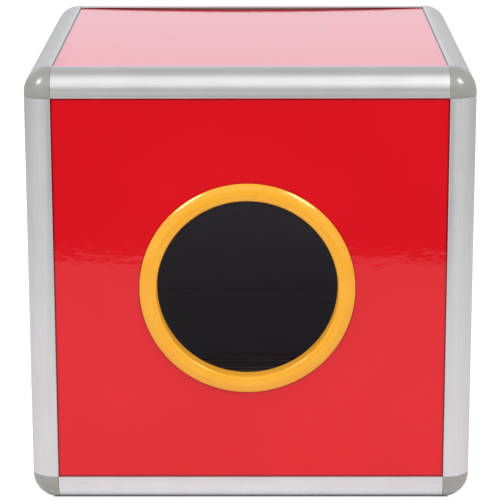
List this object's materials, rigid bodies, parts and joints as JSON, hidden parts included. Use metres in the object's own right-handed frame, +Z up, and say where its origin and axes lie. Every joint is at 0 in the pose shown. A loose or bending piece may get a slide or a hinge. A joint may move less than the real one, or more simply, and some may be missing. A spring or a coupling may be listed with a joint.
{
  "type": "ballot box",
  "caption": "Cube-shaped draw box: glossy red boards in a round aluminium edge frame with plastic ball corners, a ringed hand hole in front and a lockable access door behind.",
  "frame": {"origin": "middle of the box's footprint, on the surface that it stands on", "axes": "+X to the right as seen from the front, +Y from the front with the hand hole to the back with the door, +Z up"},
  "size_m": [0.3, 0.3061, 0.3],
  "materials": {
    "rail_aluminium": "satin anodised extrusion, drawn lengthways",
    "corner_plastic": "smooth grey moulded plastic",
    "red_board": "high gloss red outside, plain grey inside",
    "ring_amber": "smooth glossy amber yellow moulding",
    "stop_strip": "grey, dull",
    "hinge_steel": "nickel plated pressed steel",
    "hinge_pin_steel": "drawn steel wire",
    "rivet_aluminium": "plain aluminium",
    "lock_chrome": "bright plated die casting",
    "zinc_steel": "zinc plated steel"
  },
  "bodies": {
    "box": {"rail_front_top": "rail_aluminium", "rail_front_bottom": "rail_aluminium", "rail_front_left": "rail_aluminium", "rail_front_right": "rail_aluminium", "rail_rear_top": "rail_aluminium", "rail_rear_bottom": "rail_aluminium", "rail_rear_left": "rail_aluminium", "rail_rear_right": "rail_aluminium", "rail_top_left": "rail_aluminium", "rail_top_right": "rail_aluminium", "rail_bottom_left": "rail_aluminium", "rail_bottom_right": "rail_aluminium", "corner_front_top_left": "corner_plastic", "corner_front_top_right": "corner_plastic", "corner_front_bottom_left": "corner_plastic", "corner_front_bottom_right": "corner_plastic", "corner_rear_top_left": "corner_plastic", "corner_rear_top_right": "corner_plastic", "corner_rear_bottom_left": "corner_plastic", "corner_rear_bottom_right": "corner_plastic", "panel_front": "red_board", "panel_back": "red_board", "panel_left": "red_board", "panel_right": "red_board", "panel_top": "red_board", "panel_bottom": "red_board", "hand_hole_ring": "ring_amber", "hand_hole_retainer": "ring_amber", "door_stop_top": "stop_strip", "door_stop_bottom": "stop_strip", "door_stop_hinge_side": "stop_strip", "door_stop_lock_side": "stop_strip", "hinge_upper_frame_leaf": "hinge_steel", "hinge_upper_pin": "hinge_pin_steel", "hinge_lower_frame_leaf": "hinge_steel", "hinge_lower_pin": "hinge_pin_steel", "hinge_rivets_frame": "rivet_aluminium"},
    "door": {"door_leaf": "red_board", "hinge_upper_door_leaf": "hinge_steel", "hinge_lower_door_leaf": "hinge_steel", "hinge_rivets_door": "rivet_aluminium", "lock_housing": "lock_chrome", "lock_nut": "zinc_steel"},
    "lock_plug": {"lock_plug": "lock_chrome", "lock_cam": "zinc_steel", "lock_cam_screw": "zinc_steel"}
  },
  "joints": [
    {"name": "door_hinge", "type": "hinge", "parent": "box", "child": "door", "pos_m": [0.0844, 0.1512, 0.15], "axis": [0, 0, -1], "range_deg": [0, 175]},
    {"name": "lock_turn", "type": "hinge", "parent": "door", "child": "lock_plug", "pos_m": [-0.064, 0.149, 0.15], "axis": [0, -1, 0], "range_deg": [0, 90]}
  ]
}
